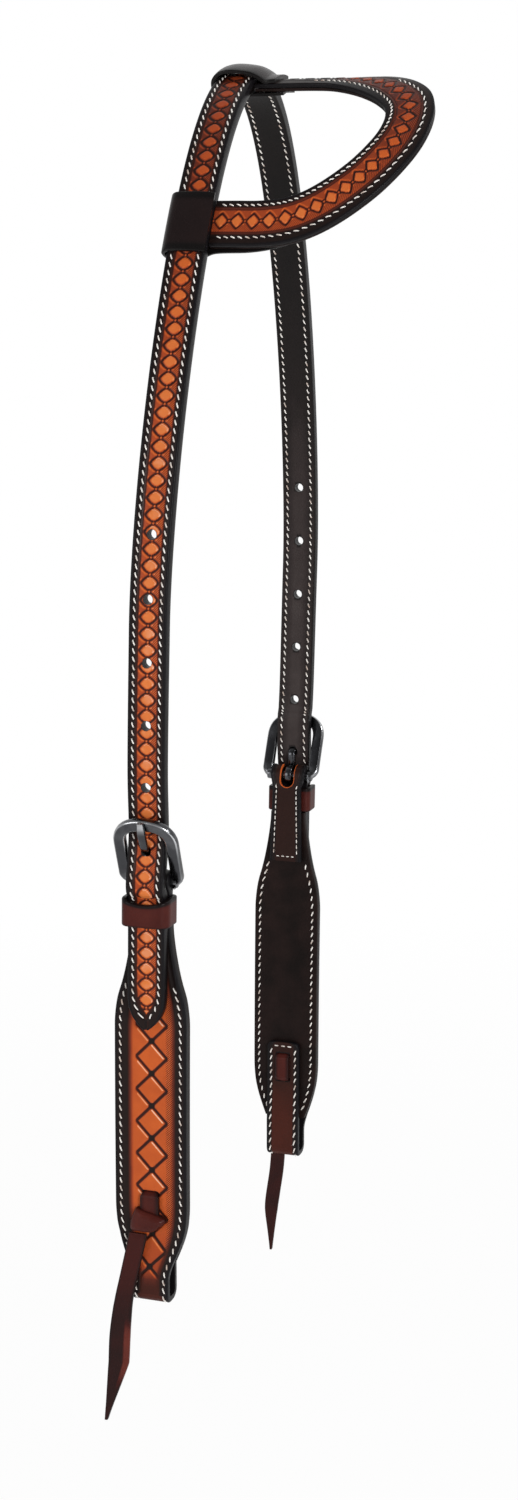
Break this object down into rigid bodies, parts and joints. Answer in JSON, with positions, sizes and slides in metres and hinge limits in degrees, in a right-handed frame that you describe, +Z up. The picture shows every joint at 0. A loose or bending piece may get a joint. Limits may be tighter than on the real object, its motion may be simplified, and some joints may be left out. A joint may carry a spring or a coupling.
{
  "type": "western headstall",
  "caption": "Tooled leather western headstall with a curved ear piece on its right side, side buckles, and wide cheeks that fold into tied bit loops.",
  "frame": {"origin": "middle of the crown strap's underside at its highest point, where it rests on the horse's poll", "axes": "+Z up; -Y forward, towards the horse's nose; -X the horse's right side, which carries the ear piece"},
  "size_m": [0.2168, 0.1199, 0.57],
  "materials": {
    "tooled_leather": "stamped, antiqued and waxed",
    "dark_leather": "smooth, satin",
    "russet_leather": "smooth, satin",
    "dark_steel": "polished gunmetal"
  },
  "bodies": {
    "crown": {"crown_overlay": "tooled_leather", "crown_lining": "dark_leather", "ear_overlay": "tooled_leather", "ear_lining": "dark_leather", "ear_lower_loop": "dark_leather", "ear_poll_loop": "dark_leather"},
    "right_buckle": {"right_buckle_frame": "dark_steel"},
    "right_tongue": {"right_buckle_tongue": "dark_steel"},
    "right_cheek": {"right_cheek_face": "tooled_leather", "right_cheek_lining": "dark_leather", "right_keeper": "russet_leather", "right_bit_tie_knot": "russet_leather"},
    "right_tie": {"right_bit_tie_tail": "russet_leather"},
    "left_buckle": {"left_buckle_frame": "dark_steel"},
    "left_tongue": {"left_buckle_tongue": "dark_steel"},
    "left_cheek": {"left_cheek_face": "tooled_leather", "left_cheek_lining": "dark_leather", "left_keeper": "russet_leather", "left_bit_tie_knot": "russet_leather"},
    "left_tie": {"left_bit_tie_tail": "russet_leather"}
  },
  "joints": [
    {"name": "right_buckle_tilt", "type": "hinge", "parent": "crown", "child": "right_buckle", "pos_m": [-0.09225, 0.00953, -0.3176], "axis": [0, -1, 0], "range_deg": [0, 1]},
    {"name": "right_tongue_lift", "type": "hinge", "parent": "right_buckle", "child": "right_tongue", "pos_m": [-0.09225, 0.00953, -0.3176], "axis": [0, -1, 0], "range_deg": [0, 2]},
    {"name": "right_cheek_swing", "type": "hinge", "parent": "right_buckle", "child": "right_cheek", "pos_m": [-0.09225, 0.00953, -0.3176], "axis": [0, -1, 0], "range_deg": [0, 2.5]},
    {"name": "right_tie_swing", "type": "hinge", "parent": "right_cheek", "child": "right_tie", "pos_m": [-0.09755, 0.0153, -0.47105], "axis": [0, 1, 0], "range_deg": [0, 80]},
    {"name": "left_buckle_tilt", "type": "hinge", "parent": "crown", "child": "left_buckle", "pos_m": [0.09225, 0.00953, -0.3131], "axis": [0, 1, 0], "range_deg": [0, 1]},
    {"name": "left_tongue_lift", "type": "hinge", "parent": "left_buckle", "child": "left_tongue", "pos_m": [0.09225, 0.00953, -0.3131], "axis": [0, 1, 0], "range_deg": [0, 2]},
    {"name": "left_cheek_swing", "type": "hinge", "parent": "left_buckle", "child": "left_cheek", "pos_m": [0.09225, 0.00953, -0.3131], "axis": [0, 1, 0], "range_deg": [0, 2.5]},
    {"name": "left_tie_swing", "type": "hinge", "parent": "left_cheek", "child": "left_tie", "pos_m": [0.09755, 0.0153, -0.47142], "axis": [0, -1, 0], "range_deg": [0, 80]}
  ]
}
